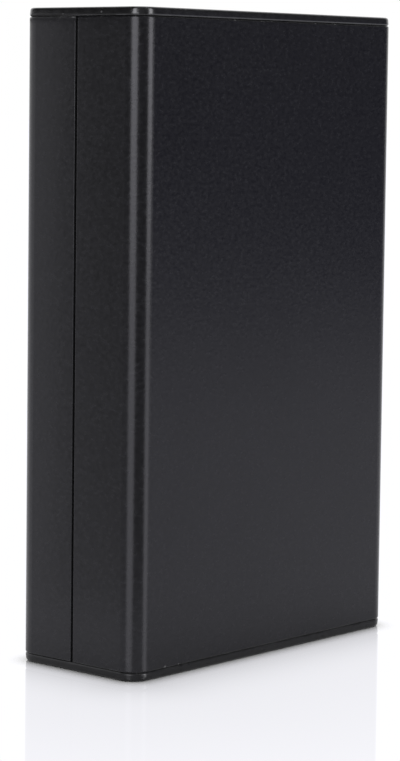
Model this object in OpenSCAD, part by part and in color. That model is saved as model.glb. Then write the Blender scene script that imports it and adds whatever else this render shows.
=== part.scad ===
// Black anodised aluminium enclosure: two equal extruded half shells that lap along both
// narrow sides, closed by a screwed plate at each end. Millimetres, +Z along the extrusion,
// origin at the centre of the face that it stands on, front shell on the -Y side.

/* [Section] */
// Width of the section, over the narrow sides
case_width = 50; // [40:1:100]
// Thickness of the section, over the wide faces
case_thickness = 20; // [19:0.5:40]
// Radius of the long rounded corners
corner_radius = 2.5; // [1.5:0.1:3.5]
// Thickness of the extruded wall
wall = 1.5; // [1.3:0.1:2]
// Length of the extruded half shells
shell_length = 79.2; // [40:0.2:200]
// Rounding of the outer edge at the cut ends of the shells
shell_edge = 0.2; // [0.1:0.05:0.4]

/* [Lap seam] */
// Distance of the seam from the middle plane, rearward on the left and forward on the right
seam_offset = 0.6; // [0:0.1:0.8]
// Gap that shows between the two shells
seam_gap = 0.32; // [0.06:0.02:0.4]
// Rounding of the outer edges along the seam
seam_edge = 0.15; // [0.1:0.05:0.3]
// How far the tongue of one shell reaches behind the lip of the other
lap_depth = 1.5; // [1.2:0.1:1.7]
// Thickness of the tongue, on the inner side of the wall
tongue = 0.7; // [0.5:0.05:0.9]
// Clearance between tongue and lip
lap_clearance = 0.05; // [0.02:0.01:0.1]
// Clearance at the tip of the tongue
tip_clearance = 0.1; // [0.05:0.05:0.3]

/* [Board guides] */
// Width of the slot that takes the edge of a circuit board
slot_width = 1.8; // [1.2:0.1:2.1]
// Thickness of the guide rib beside the seam
rib_thickness = 1; // [0.7:0.1:1.2]
// How far the guide ribs stand in from the side wall
rib_depth = 1.6; // [1:0.1:2]

/* [End plates] */
// Thickness of an end plate
plate_thickness = 1.1; // [1:0.1:3]
// How far the edge of an end plate leans in between its inner and its outer face
plate_lean = 0.1; // [0.05:0.05:0.2]
// Rounding of the edge at the inner face, beside the shells
plate_inner_edge = 0.3; // [0.1:0.05:0.4]
// Rounding of the edge at the outer face
plate_outer_edge = 0.35; // [0.1:0.05:0.4]

/* [Screws] */
// Diameter over the thread
screw_thread = 2.5; // [2.3:0.1:2.6]
// Diameter of the core, which is drawn without its thread
screw_core = 2.1; // [1.9:0.05:2.2]
// Length from the face of the head to the tip
screw_length = 6; // [4:0.5:12]
// Diameter of the flat head
head_diameter = 4.2; // [3.9:0.05:4.4]
// Height of the straight rim of the head
head_rim = 0.1; // [0.05:0.01:0.12]
// Depth of the head below the face of the plate
head_recess = 0.02; // [0.01:0.01:0.1]
// Clearance between the head and its countersink
seat_clearance = 0.02; // [0.01:0.01:0.05]
// Clearance between the thread and its hole in the plate
hole_clearance = 0.1; // [0.05:0.05:0.3]
// Clearance between the core and the wall of the screw port
core_clearance = 0.05; // [0.03:0.01:0.1]
// Chamfer at the tip of the screw
tip_chamfer = 0.4; // [0.2:0.1:0.6]
// Width of the wings of the cross recess
recess_wing = 0.6; // [0.4:0.05:0.8]
// Depth of the cross recess
recess_depth = 0.9; // [0.6:0.1:1]
// Diameter of the cross recess at the face of the head
recess_diameter = 2.4; // [2:0.1:2.8]
// Diameter of the cross recess at its floor
recess_floor = 1; // [0.8:0.1:1.2]

/* [Screw ports] */
// Wall of the port round the screw
port_wall = 1.1; // [0.8:0.1:1.3]
// How far the round of the port sinks into the walls of the shell
port_sink = 0.2; // [0.1:0.05:0.4]
// Width of the slot that opens the port to the inside
port_slot = 1.1; // [0.6:0.1:1.4]

/* [Hidden] */

// Finish of the pieces
anodised_black = [0.13, 0.13, 0.14];
screw_black = [0.2, 0.2, 0.2];

// Fineness of round faces, and how far a cutting shape runs past what it cuts
$fn = 64;
past = 1;

// Levels along the height
shell_base = plate_thickness;
shell_top = shell_base + shell_length;
case_height = shell_top + plate_thickness;

// Half sizes of the section and of the cavity in it
half_width = case_width / 2;
half_thickness = case_thickness / 2;
cavity_x = half_width - wall;
cavity_y = half_thickness - wall;

// Levels of the lap across the thickness, on the front shell
rebate_floor = seam_offset - lap_depth;
lip_edge = seam_offset - seam_gap / 2;
skin_edge = -seam_offset - seam_gap / 2;
tongue_tip = -rebate_floor - tip_clearance;
lip_back = -half_width + wall - tongue - lap_clearance;
tongue_face = half_width - wall + tongue;

// Levels of the board guides on the front shell
slot_rear = rebate_floor - rib_thickness;
slot_front = slot_rear - slot_width;
rib_x = cavity_x - rib_depth;

// Screw ports, which the holes of the plates line up with
port_bore = screw_core / 2 + core_clearance;
port_radius = port_bore + port_wall;
port_x = cavity_x - port_radius + port_sink;
port_y = cavity_y - port_radius + port_sink;

// Countersink of the plates, made to the cone of the head
plate_hole = screw_thread / 2 + hole_clearance;
sink_mouth = head_diameter / 2 + head_rim + head_recess + seat_clearance * sqrt(2);
sink_depth = sink_mouth - plate_hole;

// Outside of a corner whose edge is rounded; the corner is at the origin, the solid towards -X
// and +Y, and the side that rises from it leans in by an angle
module edge_waste(radius, angle = 0) {
    side = [cos(angle), sin(angle)];
    reach = radius + past;
    translate([-radius * (1 + sin(angle)) / cos(angle), radius]) difference() {
        polygon([[0, 0], [0, -reach], [reach, -reach], reach * side]);
        circle(radius);
    }
}

// Half profile of a slab along its length, with both outer edges rounded
module slab_profile(length, low_edge, high_edge, lean) {
    angle = atan(lean / length);
    difference() {
        polygon([[0, 0], [corner_radius, 0], [corner_radius - lean, length], [0, length]]);
        translate([corner_radius, 0]) edge_waste(low_edge, angle);
        translate([corner_radius - lean, length]) mirror([0, 1]) edge_waste(high_edge, -angle);
    }
}

// Slab with the outline of the enclosure: a core, four round corners and four straight sides
module slab(length, low_edge, high_edge, lean = 0) {
    core_x = case_width - 2 * corner_radius;
    core_y = case_thickness - 2 * corner_radius;
    translate([-core_x / 2, -core_y / 2, 0]) cube([core_x, core_y, length]);
    for (turn = [0, 180]) rotate(turn) {
        translate([core_x / 2, core_y / 2, 0])
            rotate_extrude(angle = 90) slab_profile(length, low_edge, high_edge, lean);
        translate([-core_x / 2, core_y / 2, 0])
            rotate(90) rotate_extrude(angle = 90) slab_profile(length, low_edge, high_edge, lean);
        translate([core_x / 2, core_y / 2, 0])
            rotate([90, 0, 0]) linear_extrude(core_y) slab_profile(length, low_edge, high_edge, lean);
        translate([-core_x / 2, core_y / 2, 0])
            rotate([90, 0, 90]) linear_extrude(core_x) slab_profile(length, low_edge, high_edge, lean);
    }
}

// Places its children at the four screws
module at_screws() {
    for (x = [-port_x, port_x], y = [-port_y, port_y]) translate([x, y, 0]) children();
}

// Region in front of the stepped seam: lip on the left, tongue on the right
module front_region() {
    out_x = half_width + past;
    out_y = half_thickness + past;
    difference() {
        polygon([
            [-out_x, -out_y], [out_x, -out_y],
            [out_x, skin_edge], [tongue_face, skin_edge], [tongue_face, tongue_tip], [0, tongue_tip],
            [0, rebate_floor], [lip_back, rebate_floor], [lip_back, lip_edge], [-out_x, lip_edge]
        ]);
        translate([-half_width, lip_edge]) rotate(180) edge_waste(seam_edge);
        translate([half_width, skin_edge]) mirror([0, 1]) edge_waste(seam_edge);
    }
}

// Screw port and board guide in the front right corner, rooted in the walls
module port_and_guide() {
    root_x = half_width - wall / 2;
    root_y = half_thickness - wall / 2;
    translate([port_x, -port_y]) circle(port_radius);
    translate([port_x, -root_y]) square([root_x - port_x, root_y - port_y]);
    translate([rib_x, -port_y]) square([root_x - rib_x, port_y + slot_front]);
    translate([rib_x, slot_rear]) square([root_x - rib_x, rib_thickness]);
}

// Bore of a screw port with its slot towards the middle of the enclosure
module port_opening() {
    translate([port_x, -port_y]) {
        circle(port_bore);
        rotate(45) translate([-port_slot / 2, 0]) square([port_slot, port_radius + past]);
    }
}

// Section of the front shell, running past the outer faces, which the slab gives it
module shell_section() {
    difference() {
        union() {
            difference() {
                front_region();
                translate([-cavity_x, -cavity_y]) square([2 * cavity_x, 2 * cavity_y]);
            }
            port_and_guide();
            mirror([1, 0]) port_and_guide();
        }
        port_opening();
        mirror([1, 0]) port_opening();
    }
}

// One length of the extrusion, cut to size with its ends deburred
module half_shell() {
    translate([0, 0, shell_base]) intersection() {
        slab(shell_length, shell_edge, shell_edge);
        translate([0, 0, -past]) linear_extrude(shell_length + 2 * past) shell_section();
    }
}

// End plate lying on its inner face, countersunk from the outer one
module end_plate() {
    difference() {
        slab(plate_thickness, plate_inner_edge, plate_outer_edge, plate_lean);
        at_screws() {
            translate([0, 0, -past]) cylinder(r = plate_hole, h = plate_thickness + 2 * past);
            translate([0, 0, plate_thickness - sink_depth])
                cylinder(r1 = plate_hole, r2 = sink_mouth + past, h = sink_depth + past);
        }
    }
}

// Cross recess, open at the origin and running down from it
module cross_recess() {
    flare = (recess_diameter - recess_floor) / recess_depth;
    intersection() {
        translate([0, 0, -recess_depth])
            cylinder(d1 = recess_floor, d2 = recess_diameter + flare * past, h = recess_depth + past);
        union() {
            for (turn = [0, 90]) rotate(turn)
                translate([-recess_diameter, -recess_wing / 2, -recess_depth])
                    cube([2 * recess_diameter, recess_wing, recess_depth + past]);
        }
    }
}

// Flat-head screw with the face of its head at the origin and its tip down
module flat_head_screw() {
    head_radius = head_diameter / 2;
    neck = screw_thread / 2;
    neck_level = -head_rim - head_radius + neck;
    core = screw_core / 2;
    difference() {
        rotate_extrude() polygon([
            [0, 0], [head_radius, 0], [head_radius, -head_rim], [neck, neck_level], [core, neck_level],
            [core, -screw_length + tip_chamfer], [core - tip_chamfer, -screw_length], [0, -screw_length]
        ]);
        cross_recess();
    }
}

// The four screws of one end plate, seated in its countersinks
module plate_screws() {
    at_screws() translate([0, 0, case_height - head_recess]) flat_head_screw();
}

// Turns a piece of the upper end over to the lower end
module to_lower_end() {
    translate([0, 0, case_height]) rotate([180, 0, 0]) children();
}

module front_shell() { color(anodised_black) half_shell(); }
module rear_shell() { color(anodised_black) rotate(180) half_shell(); }
module top_end_plate() { color(anodised_black) translate([0, 0, shell_top]) end_plate(); }
module bottom_end_plate() {
    color(anodised_black) to_lower_end() translate([0, 0, shell_top]) end_plate();
}
module top_plate_screws() { color(screw_black) plate_screws(); }
module bottom_plate_screws() { color(screw_black) to_lower_end() plate_screws(); }

front_shell();
rear_shell();
top_end_plate();
bottom_end_plate();
top_plate_screws();
bottom_plate_screws();
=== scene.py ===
import math

import bmesh
import bpy
from mathutils import Matrix, Vector


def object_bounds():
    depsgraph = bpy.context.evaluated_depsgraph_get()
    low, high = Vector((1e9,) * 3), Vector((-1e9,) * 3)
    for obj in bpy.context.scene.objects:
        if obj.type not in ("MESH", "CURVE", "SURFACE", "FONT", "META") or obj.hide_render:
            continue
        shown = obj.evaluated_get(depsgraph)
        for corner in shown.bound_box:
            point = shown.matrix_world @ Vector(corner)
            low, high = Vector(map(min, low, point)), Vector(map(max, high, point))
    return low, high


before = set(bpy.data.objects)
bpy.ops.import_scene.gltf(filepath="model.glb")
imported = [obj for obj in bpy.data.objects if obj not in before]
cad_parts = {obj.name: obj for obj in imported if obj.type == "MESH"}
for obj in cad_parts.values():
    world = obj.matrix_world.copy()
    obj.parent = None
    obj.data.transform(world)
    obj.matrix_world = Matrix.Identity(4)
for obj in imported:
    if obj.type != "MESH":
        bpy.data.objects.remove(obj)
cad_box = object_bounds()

# Half shells
# Two equal lengths of aluminium extrusion that lap along the narrow sides. They are cut to length,
# deburred at the saw cuts, blasted with fine beads and anodised black.
MM = 0.001
ALONG = (0.0, 0.0, 1.0)
REARWARD = (0.0, 1.0, 0.0)
GRAIN_STRETCH = (1.5, 1.5, 1.0)
GRAIN_DYE = 0.3
GRAIN_GLOSS = 0.03
DYE_CLOUD = 14 * MM
CLOUD_DYE = 0.75
BARE_ALUMINIUM = (0.55, 0.55, 0.56)
BARE_GLOSS = 0.28
NICK_BARE = 0.15


def add_node(tree, kind, **settings):
    """A node of that kind; a setting is a property of the node, or an input where it has that name."""
    node = tree.nodes.new(kind)
    for name, value in settings.items():
        if hasattr(node, name):
            setattr(node, name, value)
        else:
            node.inputs[name.replace("_", " ")].default_value = value
    return node


def feed(tree, source, socket):
    """Gives a socket its source, which is another socket or a plain value."""
    if isinstance(source, bpy.types.NodeSocket):
        tree.links.new(source, socket)
    else:
        socket.default_value = source


def number_step(tree, operation, first, second=0.0):
    """One step of arithmetic on numbers."""
    node = add_node(tree, "ShaderNodeMath", operation=operation)
    feed(tree, first, node.inputs[0])
    feed(tree, second, node.inputs[1])
    return node.outputs["Value"]


def largest(tree, numbers):
    """The largest of several numbers."""
    result = numbers[0]
    for number in numbers[1:]:
        result = number_step(tree, "MAXIMUM", result, number)
    return result


def point_step(tree, operation, first, second=(0.0, 0.0, 0.0)):
    """One step of arithmetic on points, which gives a number for a length or a dot product."""
    node = add_node(tree, "ShaderNodeVectorMath", operation=operation)
    feed(tree, first, node.inputs[0])
    feed(tree, second, node.inputs[1])
    return node.outputs["Value" if operation in ("LENGTH", "DOT_PRODUCT") else "Vector"]


def noise(tree, place, size, detail=2.0, stretch=(1.0, 1.0, 1.0)):
    """Cloudy noise, about 0.5 on average, whose patches are about size metres across."""
    frequency = tuple(1.0 / (size * share) for share in stretch)
    mapping = add_node(tree, "ShaderNodeMapping", Scale=frequency)
    texture = add_node(tree, "ShaderNodeTexNoise", Scale=1.0, Detail=detail, Roughness=0.55)
    feed(tree, place, mapping.inputs["Vector"])
    feed(tree, mapping.outputs["Vector"], texture.inputs["Vector"])
    return texture.outputs["Fac"]


def spread(tree, value, low, high, start=0.3, end=0.7):
    """Turns numbers between start and end into numbers between low and high."""
    node = add_node(tree, "ShaderNodeMapRange", From_Min=start, From_Max=end)
    feed(tree, low, node.inputs["To Min"])
    feed(tree, high, node.inputs["To Max"])
    feed(tree, value, node.inputs["Value"])
    return node.outputs["Result"]


def mix_colour(tree, share, first, second):
    """Colour that goes from first to second with share; both may be plain."""
    node = add_node(tree, "ShaderNodeMix", data_type="RGBA", clamp_factor=True)
    feed(tree, share, node.inputs["Factor"])
    for colour, socket in ((first, node.inputs[6]), (second, node.inputs[7])):
        feed(tree, (*colour, 1.0) if isinstance(colour, tuple) else colour, socket)
    return node.outputs[2]


def node_material(name):
    """New material and its node tree."""
    material = bpy.data.materials.new(name)
    material.use_nodes = True
    return material, material.node_tree


def dress(piece_name, material):
    """Gives a piece of the frame its material."""
    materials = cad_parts[piece_name].data.materials
    materials.clear()
    materials.append(material)


def half_way_round(tree, facing, axis):
    """1 half-way round an edge that turns towards that axis, down to 0 on the flat faces beside it."""
    towards = point_step(tree, "DOT_PRODUCT", facing, axis)
    square = number_step(tree, "MULTIPLY", towards, towards)
    rest = number_step(tree, "SUBTRACT", 1.0, square)
    return number_step(tree, "MULTIPLY", number_step(tree, "MULTIPLY", square, rest), 4.0)


def away_from(tree, place, level):
    """How far a number is from a level, either way."""
    return number_step(tree, "ABSOLUTE", number_step(tree, "SUBTRACT", place, level))


def nick(tree, place, ragged, centre, reach):
    """Small ragged bare mark; centre and reach are in millimetres."""
    offset = point_step(tree, "SUBTRACT", place, tuple(part * MM for part in centre))
    shares = point_step(tree, "DIVIDE", offset, tuple(part * MM for part in reach))
    distance = number_step(tree, "ADD", point_step(tree, "LENGTH", shares), ragged)
    return spread(tree, distance, NICK_BARE, 0.0, start=0.9, end=1.3)


def anodised_black(
    name, dye_dark, dye_light, satin, end_satin, sheen, tint, grain_size, grain_height, wear_and_light, joint_wear_and_light
):
    """Blasted and dyed aluminium oxide: near black, satin, with the fine grain that the beads leave.

    The flat faces at the ends have a satin of their own. Wear gives the share of bare metal, which also
    carries painted light at the joints and seam and a painted highlight on the lower plate.
    """
    material, tree = node_material(name)
    shader = tree.nodes["Principled BSDF"]
    shader.inputs["IOR"].default_value = sheen
    shader.inputs["Specular Tint"].default_value = (*tint, 1.0)
    coordinates = add_node(tree, "ShaderNodeTexCoord")
    place = coordinates.outputs["Object"]
    facing = coordinates.outputs["Normal"]
    bead_marks = noise(tree, place, grain_size, stretch=GRAIN_STRETCH)
    dye_clouds = noise(tree, place, DYE_CLOUD, detail=3.0)
    grain_dye = spread(tree, bead_marks, GRAIN_DYE, 1.0)
    cloud_dye = spread(tree, dye_clouds, CLOUD_DYE, 1.0)
    dyed = mix_colour(tree, number_step(tree, "MULTIPLY", grain_dye, cloud_dye), dye_dark, dye_light)
    on_end = number_step(tree, "ABSOLUTE", point_step(tree, "DOT_PRODUCT", facing, ALONG))
    mean_gloss = spread(tree, on_end, satin, end_satin, start=0.9, end=1.0)
    dyed_gloss = number_step(tree, "ADD", mean_gloss, spread(tree, bead_marks, -GRAIN_GLOSS, GRAIN_GLOSS))
    bare_share = wear_and_light(tree, place, facing, bead_marks, joint_wear_and_light)
    bump = add_node(tree, "ShaderNodeBump", Strength=1.0, Distance=grain_height)
    feed(tree, bead_marks, bump.inputs["Height"])
    feed(tree, mix_colour(tree, bare_share, dyed, BARE_ALUMINIUM), shader.inputs["Base Color"])
    feed(tree, bare_share, shader.inputs["Metallic"])
    feed(tree, spread(tree, bare_share, dyed_gloss, BARE_GLOSS, start=0.0, end=1.0), shader.inputs["Roughness"])
    feed(tree, bump.outputs["Normal"], shader.inputs["Normal"])
    return material


LOWER_JOINT = 1.1
UPPER_JOINT = 80.3
RUB_PATCH = 2.5 * MM
RUB_FULL = 0.4 * MM
RUB_END = 0.6 * MM


def joints_worn_and_lit(tree, place, facing, joint_wear_and_light):
    """Bare metal in patches on the edges at the joints: partly dye rubbed thin, partly painted light on the
    joints' shade; a share for each joint's height.
    """
    height = point_step(tree, "DOT_PRODUCT", place, ALONG)
    patches = spread(tree, noise(tree, place, RUB_PATCH), 0.4, 1.0, start=0.4, end=0.6)
    beside = []
    for joint, share in joint_wear_and_light.items():
        distance = away_from(tree, height, joint * MM)
        beside.append(spread(tree, distance, share, 0.0, start=RUB_FULL, end=RUB_END))
    rubbed = number_step(tree, "MULTIPLY", patches, largest(tree, beside))
    return number_step(tree, "MULTIPLY", rubbed, half_way_round(tree, facing, ALONG))


SEAM_PLACE = 0.6 * MM
SEAM_WALL = 0.17 * MM
SEAM_EDGE = 0.2 * MM
# Painted light: the share of bare metal that lifts the shade on the walls of the seam.
SEAM_PAINTED_LIGHT = 0.012


def seam_painted_light(tree, place, facing):
    """Bare metal mixed thinly into the walls of the seam: painted light that lifts the shade in the gap."""
    across = point_step(tree, "DOT_PRODUCT", point_step(tree, "ABSOLUTE", place), REARWARD)
    distance = away_from(tree, across, SEAM_PLACE)
    beside = spread(tree, distance, SEAM_PAINTED_LIGHT, 0.0, start=SEAM_WALL, end=SEAM_EDGE)
    on_wall = point_step(tree, "DOT_PRODUCT", facing, REARWARD)
    return number_step(tree, "MULTIPLY", beside, number_step(tree, "MULTIPLY", on_wall, on_wall))


SHELL_SPECK = 0.3 * MM
SHELL_SPECK_BARE = 0.15
SPECKLED_PATCH = 5 * MM
SHELL_NICKS = (
    ((-24.95, 1.2, 80.2), (0.4, 0.5, 0.2)),
    ((-19.5, -10.0, 1.3), (0.3, 0.3, 0.2)),
    ((-17.0, -10.0, 1.25), (0.2, 0.3, 0.15)),
)


def shell_wear_and_light(tree, place, facing, bead_marks, joint_wear_and_light):
    """Bare specks on the edges of the saw cuts, bare joints and seam, and a few nicks; joints partly, seam
    wholly painted light on their shade.
    """
    speck_noise = noise(tree, place, SHELL_SPECK, detail=1.0)
    specks = spread(tree, speck_noise, 0.0, SHELL_SPECK_BARE, start=0.6, end=0.7)
    patches = spread(tree, noise(tree, place, SPECKLED_PATCH), 0.0, 1.0, start=0.45, end=0.6)
    speckled = number_step(tree, "MULTIPLY", specks, patches)
    marks = [
        number_step(tree, "MULTIPLY", half_way_round(tree, facing, ALONG), speckled),
        joints_worn_and_lit(tree, place, facing, joint_wear_and_light),
        seam_painted_light(tree, place, facing),
    ]
    for centre, reach in SHELL_NICKS:
        marks.append(nick(tree, place, bead_marks, centre, reach))
    return largest(tree, marks)


# Bare metal at each shell's joints: partly wear, partly painted light that lifts the shade in the joint
# grooves.
SHELL_JOINT_WEAR_AND_LIGHT = {
    "front_shell": {LOWER_JOINT: 0.045},
    "rear_shell": {LOWER_JOINT: 0.045, UPPER_JOINT: 0.1},
}
for shell_name, shell_joint_wear_and_light in SHELL_JOINT_WEAR_AND_LIGHT.items():
    shell_black = anodised_black(
        shell_name + "_black_anodised",
        dye_dark=(0.0008, 0.0008, 0.001),
        dye_light=(0.0087, 0.0087, 0.0101),
        satin=0.25,
        end_satin=0.25,
        sheen=1.42,
        tint=(0.93, 0.92, 1.0),
        grain_size=0.42 * MM,
        grain_height=0.011 * MM,
        wear_and_light=shell_wear_and_light,
        joint_wear_and_light=shell_joint_wear_and_light,
    )
    dress(shell_name, shell_black)

# End plates
# Flat aluminium plates, cut to the outline of the shells, countersunk and screwed on to close both ends.
# The outer faces are blasted dull and the cut edges glossier. The lower plate's duller, less glossy copy is
# painted shade near the table.
PLATE_SPECK = 0.25 * MM
PLATE_SPECK_BARE = 0.1
PLATE_NICKS_AND_HIGHLIGHT = (
    ((-25.0, -3.5, 80.8), (0.4, 0.22, 0.2)),
    ((-25.0, 2.9, 80.6), (0.4, 0.14, 0.12)),
    # Painted highlight: bare metal on the lower plate's corner, where that corner's highlight shows.
    ((-23.0, -9.95, 0.75), (0.3, 0.25, 0.4)),
)


def plate_wear_and_light(tree, place, facing, bead_marks, joint_wear_and_light):
    """Bare specks on the edges, the bare joints (partly painted light), a few nicks and a painted highlight.
    """
    speck_noise = noise(tree, place, PLATE_SPECK, detail=1.0)
    specks = spread(tree, speck_noise, 0.0, PLATE_SPECK_BARE, start=0.62, end=0.76)
    marks = [
        number_step(tree, "MULTIPLY", specks, half_way_round(tree, facing, ALONG)),
        joints_worn_and_lit(tree, place, facing, joint_wear_and_light),
    ]
    for centre, reach in PLATE_NICKS_AND_HIGHLIGHT:
        marks.append(nick(tree, place, bead_marks, centre, reach))
    return largest(tree, marks)


# Painted shade: the lower plate's finish is a duller, less glossy copy of the upper one's, darker near the
# table.
PLATE_FINISHES_AND_SHADE = {
    "top_end_plate": {"satin": 0.2, "sheen": 1.6, "joint_wear_and_light": {UPPER_JOINT: 0.045}},
    "bottom_end_plate": {"satin": 0.3, "sheen": 1.4, "joint_wear_and_light": {LOWER_JOINT: 0.045}},
}
for plate_name, finish_and_shade in PLATE_FINISHES_AND_SHADE.items():
    plate_black = anodised_black(
        plate_name + "_black_anodised",
        dye_dark=(0.0006, 0.0006, 0.0007),
        dye_light=(0.0075, 0.0075, 0.0082),
        end_satin=0.5,
        tint=(0.95, 0.95, 1.0),
        grain_size=0.6 * MM,
        grain_height=0.012 * MM,
        wear_and_light=plate_wear_and_light,
        **finish_and_shade,
    )
    dress(plate_name, plate_black)

# Plate screws
# Small flat-head screws with a cross recess, of steel plated with black zinc. Four hold each end
# plate, driven into the screw ports of the shells until their heads are flush.
PLATING_PATCH = 0.3 * MM
PLATING_DARK = (0.03, 0.03, 0.031)
PLATING_LIGHT = (0.07, 0.07, 0.068)
PLATING_SMOOTH = 0.32
PLATING_ROUGH = 0.48
screw_black, screw_tree = node_material("screw_black_zinc")
screw_shader = screw_tree.nodes["Principled BSDF"]
screw_shader.inputs["Metallic"].default_value = 1.0
screw_place = add_node(screw_tree, "ShaderNodeTexCoord").outputs["Object"]
plating = noise(screw_tree, screw_place, PLATING_PATCH)
screw_colour = mix_colour(screw_tree, plating, PLATING_DARK, PLATING_LIGHT)
screw_gloss = spread(screw_tree, plating, PLATING_SMOOTH, PLATING_ROUGH)
feed(screw_tree, screw_colour, screw_shader.inputs["Base Color"])
feed(screw_tree, screw_gloss, screw_shader.inputs["Roughness"])
for group_name in ("top_plate_screws", "bottom_plate_screws"):
    dress(group_name, screw_black)

# Table
# White polished table that the enclosure stands on, with the shadow close to the foot and a mirror image
# that fades away from it and for a look from above. All else of it is as white as the background.
TABLE_HALF = 4.0
TABLE_DROP = 0.02 * MM
TABLE_LIT = (0.85, 0.85, 0.855, 1.0)
TABLE_WHITE = (1.0, 1.0, 1.045, 1.0)
FOOT_CORNER = 2.5 * MM
SHADOW_SEEN = 2.6 * MM
SHADOW_IN_GLOSS = 40 * MM
SHADOW_FALL = 2.0
MIRROR_REACH = 17 * MM
MIRROR_FALL = 3.0
MIRROR_NEAR = 0.47
MIRROR_FAINT = 0.172
MIRROR_END = 85 * MM
MIRROR_IN_GLOSS = 0.3
MIRROR_BLUR_IN_GLOSS = 0.1
POLISH_FROM_ABOVE = 0.04
POLISH_FLAT_LOOK = 0.235
WHITE = (1.0, 1.0, 1.0, 1.0)
table_mesh = bpy.data.meshes.new("table")
table_form = bmesh.new()
bmesh.ops.create_grid(table_form, x_segments=8, y_segments=8, size=TABLE_HALF)
table_form.to_mesh(table_mesh)
table_form.free()
table = bpy.data.objects.new("table", table_mesh)
bpy.context.scene.collection.objects.link(table)
table.location.z = -TABLE_DROP


def background_rays(tree):
    """1 for the rays that see the background: from the camera, or by way of a gloss or a clear piece."""
    path = add_node(tree, "ShaderNodeLightPath")
    kinds = ("Is Camera Ray", "Is Glossy Ray", "Is Transmission Ray")
    return largest(tree, [path.outputs[kind] for kind in kinds])


def mix_shader(tree, share, first, second):
    """Shader that goes from first to second with share."""
    node = add_node(tree, "ShaderNodeMixShader")
    feed(tree, share, node.inputs["Fac"])
    feed(tree, first, node.inputs[1])
    feed(tree, second, node.inputs[2])
    return node.outputs["Shader"]


def close_to_foot(tree, distance, reach, fall):
    """1 at the foot of the enclosure, falling to 0 at that reach."""
    return number_step(tree, "POWER", spread(tree, distance, 1.0, 0.0, start=0.0, end=reach), fall)


def seen_or_in_gloss(tree, in_gloss, seen):
    """One number where the camera sees the table directly, another in the gloss of the enclosure."""
    directly = add_node(tree, "ShaderNodeLightPath").outputs["Is Camera Ray"]
    return spread(tree, directly, in_gloss, seen, start=0.0, end=1.0)


table_white, table_tree = node_material("table_white")
table_tree.nodes.clear()
table_surface = add_node(table_tree, "ShaderNodeOutputMaterial")
lit_white = add_node(table_tree, "ShaderNodeBsdfDiffuse", Color=TABLE_LIT).outputs["BSDF"]
pure_white = add_node(table_tree, "ShaderNodeEmission", Color=TABLE_WHITE, Strength=1.0).outputs["Emission"]
mirror_image = add_node(table_tree, "ShaderNodeBsdfGlossy", Color=WHITE)
table_place = add_node(table_tree, "ShaderNodeTexCoord").outputs["Object"]
foot = (cad_box[1].x - FOOT_CORNER, cad_box[1].y - FOOT_CORNER, 1.0)
past_foot = point_step(table_tree, "SUBTRACT", point_step(table_tree, "ABSOLUTE", table_place), foot)
beside_foot = point_step(table_tree, "MAXIMUM", past_foot)
corner_distance = point_step(table_tree, "LENGTH", beside_foot)
foot_distance = number_step(table_tree, "SUBTRACT", corner_distance, FOOT_CORNER)
shadow_in_gloss = close_to_foot(table_tree, foot_distance, SHADOW_IN_GLOSS, SHADOW_FALL)
shadow_seen = close_to_foot(table_tree, foot_distance, SHADOW_SEEN, SHADOW_FALL)
in_shadow = seen_or_in_gloss(table_tree, shadow_in_gloss, shadow_seen)
in_light = number_step(table_tree, "SUBTRACT", 1.0, in_shadow)
white_share = number_step(table_tree, "MULTIPLY", background_rays(table_tree), in_light)
table_body = mix_shader(table_tree, white_share, lit_white, pure_white)
# Painted shade: the mirror share is set strong at the foot and falls with distance from it, darkening the
# table there.
mirror_fade = close_to_foot(table_tree, foot_distance, MIRROR_REACH, MIRROR_FALL)
mirror_faint = spread(table_tree, foot_distance, MIRROR_FAINT, 0.0, start=0.0, end=MIRROR_END)
mirror_seen = spread(table_tree, mirror_fade, mirror_faint, MIRROR_NEAR, start=0.0, end=1.0)
polish = add_node(table_tree, "ShaderNodeFresnel", IOR=1.5).outputs["Fac"]
flat_look = spread(table_tree, polish, 0.0, 1.0, start=POLISH_FROM_ABOVE, end=POLISH_FLAT_LOOK)
mirror_seen = number_step(table_tree, "MULTIPLY", mirror_seen, flat_look)
mirror_share = seen_or_in_gloss(table_tree, MIRROR_IN_GLOSS, mirror_seen)
mirror_blur = seen_or_in_gloss(table_tree, MIRROR_BLUR_IN_GLOSS, 0.0)
feed(table_tree, mirror_blur, mirror_image.inputs["Roughness"])
table_finish = mix_shader(table_tree, mirror_share, table_body, mirror_image.outputs["BSDF"])
feed(table_tree, table_finish, table_surface.inputs["Surface"])
table_mesh.materials.append(table_white)

# Studio
# White background with soft even light. On each side a wide low softbox lights the rounded corner and a
# narrow upper one the plate's edge. Dark screens in front and at the sides glow in the gloss only: painted
# shade that keeps the faces black.
AMBIENT = 0.7
world = bpy.data.worlds.new("studio")
world.use_nodes = True
world_tree = world.node_tree
world_tree.nodes.clear()
world_surface = add_node(world_tree, "ShaderNodeOutputWorld")
soft_light = add_node(world_tree, "ShaderNodeBackground", Color=WHITE, Strength=AMBIENT).outputs["Background"]
white_wall = add_node(world_tree, "ShaderNodeBackground", Color=WHITE, Strength=1.0).outputs["Background"]
studio_light = mix_shader(world_tree, background_rays(world_tree), soft_light, white_wall)
feed(world_tree, studio_light, world_surface.inputs["Surface"])
bpy.context.scene.world = world


def around(angle, distance, height):
    """Point about the enclosure; the angle runs from its left side, -X, round to its front, -Y."""
    turn = math.radians(angle)
    return Vector((-distance * math.cos(turn), -distance * math.sin(turn), height))


SOFTBOX_DISTANCE = 0.8
SOFTBOX_FOOT = 0.02
SOFTBOX_MIDDLE = 0.22
SOFTBOX_HEAD = 0.62


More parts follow.
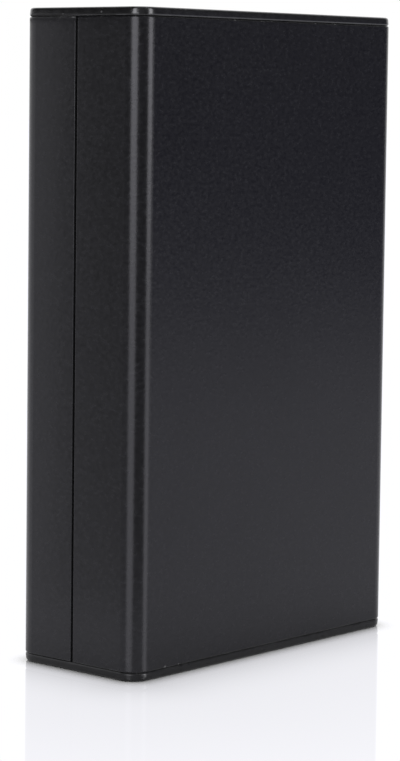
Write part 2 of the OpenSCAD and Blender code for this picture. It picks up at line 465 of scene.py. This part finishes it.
def softbox(name, angle, width, low, high, brightness):
    """Upright soft lamp that faces the enclosure; brightness is what a mirror would show of it."""
    lamp = bpy.data.lights.new(name, "AREA")
    lamp.shape = "RECTANGLE"
    lamp.size = width
    lamp.size_y = high - low
    lamp.energy = brightness * math.pi * width * (high - low)
    piece = bpy.data.objects.new(name, lamp)
    bpy.context.scene.collection.objects.link(piece)
    piece.location = around(angle, SOFTBOX_DISTANCE, (low + high) / 2)
    aim = around(angle, -1.0, 0.0)
    piece.rotation_euler = aim.to_track_quat("-Z", "Y").to_euler()
    piece.visible_camera = False


softbox("left_softbox", 17.2, 0.53, SOFTBOX_FOOT, SOFTBOX_MIDDLE, brightness=4.6)
softbox("left_upper_softbox", 14, 0.25, SOFTBOX_MIDDLE, SOFTBOX_HEAD, brightness=5.3)
softbox("right_softbox", 105.5, 0.38, SOFTBOX_FOOT, SOFTBOX_MIDDLE, brightness=4.9)
softbox("right_upper_softbox", 106, 0.22, SOFTBOX_MIDDLE, SOFTBOX_HEAD, brightness=5.3)


SCREEN_STEPS = 24


def painted_shade_screen(name, start, end, foot, head, foot_grey, head_grey, fade):
    """Dark screen, curved round the enclosure between two angles, that shows only in its satin gloss.

    Foot and head are its two long edges, each with its distance and its height. Its grey glow is painted
    shade, lighter at its foot as if the table lit it there, and darker up to the height of the fade. The
    sharp mirror image on the table leaves it out.
    """
    mesh = bpy.data.meshes.new(name)
    form = bmesh.new()
    feet = []
    heads = []
    for step in range(SCREEN_STEPS + 1):
        angle = start + (end - start) * step / SCREEN_STEPS
        feet.append(form.verts.new(around(angle, *foot)))
        heads.append(form.verts.new(around(angle, *head)))
    for step in range(SCREEN_STEPS):
        form.faces.new((feet[step], feet[step + 1], heads[step + 1], heads[step]))
    form.to_mesh(mesh)
    form.free()
    screen = bpy.data.objects.new(name, mesh)
    bpy.context.scene.collection.objects.link(screen)
    painted_glow, tree = node_material(name + "_cloth")
    tree.nodes.clear()
    surface = add_node(tree, "ShaderNodeOutputMaterial")
    height = point_step(tree, "DOT_PRODUCT", add_node(tree, "ShaderNodeTexCoord").outputs["Object"], ALONG)
    shade = add_node(tree, "ShaderNodeEmission", Strength=1.0)
    up = spread(tree, height, 0.0, 1.0, start=0.0, end=fade)
    feed(tree, mix_colour(tree, up, foot_grey, head_grey), shade.inputs["Color"])
    unseen = add_node(tree, "ShaderNodeBsdfTransparent")
    sharp = add_node(tree, "ShaderNodeLightPath").outputs["Is Singular Ray"]
    seen = mix_shader(tree, sharp, shade.outputs["Emission"], unseen.outputs["BSDF"])
    feed(tree, seen, surface.inputs["Surface"])
    mesh.materials.append(painted_glow)
    screen.visible_camera = False
    screen.visible_diffuse = False
    screen.visible_shadow = False


# Painted shade: the greys of these screens stand in for the dark studio, lighter at the foot for the table's
# light.
painted_shade_screen(
    "front_screen", start=-20, end=170, foot=(1.2, 0.0), head=(1.2, 1.5),
    foot_grey=(0.06, 0.06, 0.065), head_grey=(0.06, 0.06, 0.065), fade=0.1,
)
painted_shade_screen(
    "corner_screen", start=29, end=74, foot=(0.07, 0.0), head=(0.07, 0.3),
    foot_grey=(0.33, 0.33, 0.33), head_grey=(0.18, 0.18, 0.185), fade=0.05,
)
painted_shade_screen(
    "left_head_strip", start=-40, end=12, foot=(0.0253, 0.08), head=(0.03, 0.08),
    foot_grey=(0.15, 0.15, 0.15), head_grey=(0.15, 0.15, 0.15), fade=0.1,
)
painted_shade_screen(
    "left_head_screen", start=-62, end=6, foot=(0.058, 0.085), head=(0.058, 0.3),
    foot_grey=(0.06, 0.06, 0.06), head_grey=(0.06, 0.06, 0.06), fade=0.1,
)
painted_shade_screen(
    "left_screen", start=-30, end=6, foot=(0.06, 0.0), head=(0.06, 0.3),
    foot_grey=(0.6, 0.6, 0.61), head_grey=(0.27, 0.27, 0.275), fade=0.06,
)
painted_shade_screen(
    "right_screen", start=120, end=163, foot=(0.5, 0.0), head=(0.5, 0.8),
    foot_grey=(0.12, 0.12, 0.205), head_grey=(0.12, 0.12, 0.123), fade=0.2,
)

# Camera
# Long lens just below the upper end of the enclosure, looking at the edge between its left side and
# its front, so that both show. The picture is cropped a little off the middle of the lens.
PHOTO_LONG_SIDE = 761
PHOTO_CENTRE = (199.5, 380.0)
LENS_CENTRE = (217.9, 311.1)
FOCAL_PIXELS = 2654.8
SENSOR = 36.0
LOOK_YAW = math.radians(40.752)
LOOK_PITCH = math.radians(-4.776)
LOOK_ROLL = math.radians(-0.726)
STAND = (-257.846 * MM, -223.275 * MM, 71.649 * MM)
NEAREST = 10 * MM
camera_data = bpy.data.cameras.new("camera")
camera_data.sensor_width = SENSOR
camera_data.lens = FOCAL_PIXELS * SENSOR / PHOTO_LONG_SIDE
camera_data.shift_x = (PHOTO_CENTRE[0] - LENS_CENTRE[0]) / PHOTO_LONG_SIDE
camera_data.shift_y = (LENS_CENTRE[1] - PHOTO_CENTRE[1]) / PHOTO_LONG_SIDE
camera_data.clip_start = NEAREST
camera = bpy.data.objects.new("camera", camera_data)
bpy.context.scene.collection.objects.link(camera)
look = Vector((
    math.cos(LOOK_YAW) * math.cos(LOOK_PITCH),
    math.sin(LOOK_YAW) * math.cos(LOOK_PITCH),
    math.sin(LOOK_PITCH),
))
level_right = look.cross(Vector(ALONG)).normalized()
level_down = look.cross(level_right)
right = level_right * math.cos(LOOK_ROLL) + level_down * math.sin(LOOK_ROLL)
down = level_down * math.cos(LOOK_ROLL) - level_right * math.sin(LOOK_ROLL)
camera.matrix_world = Matrix((
    (right.x, -down.x, -look.x, STAND[0]),
    (right.y, -down.y, -look.y, STAND[1]),
    (right.z, -down.z, -look.z, STAND[2]),
    (0.0, 0.0, 0.0, 1.0),
))
bpy.context.scene.camera = camera
bpy.context.scene.view_settings.view_transform = "Standard"
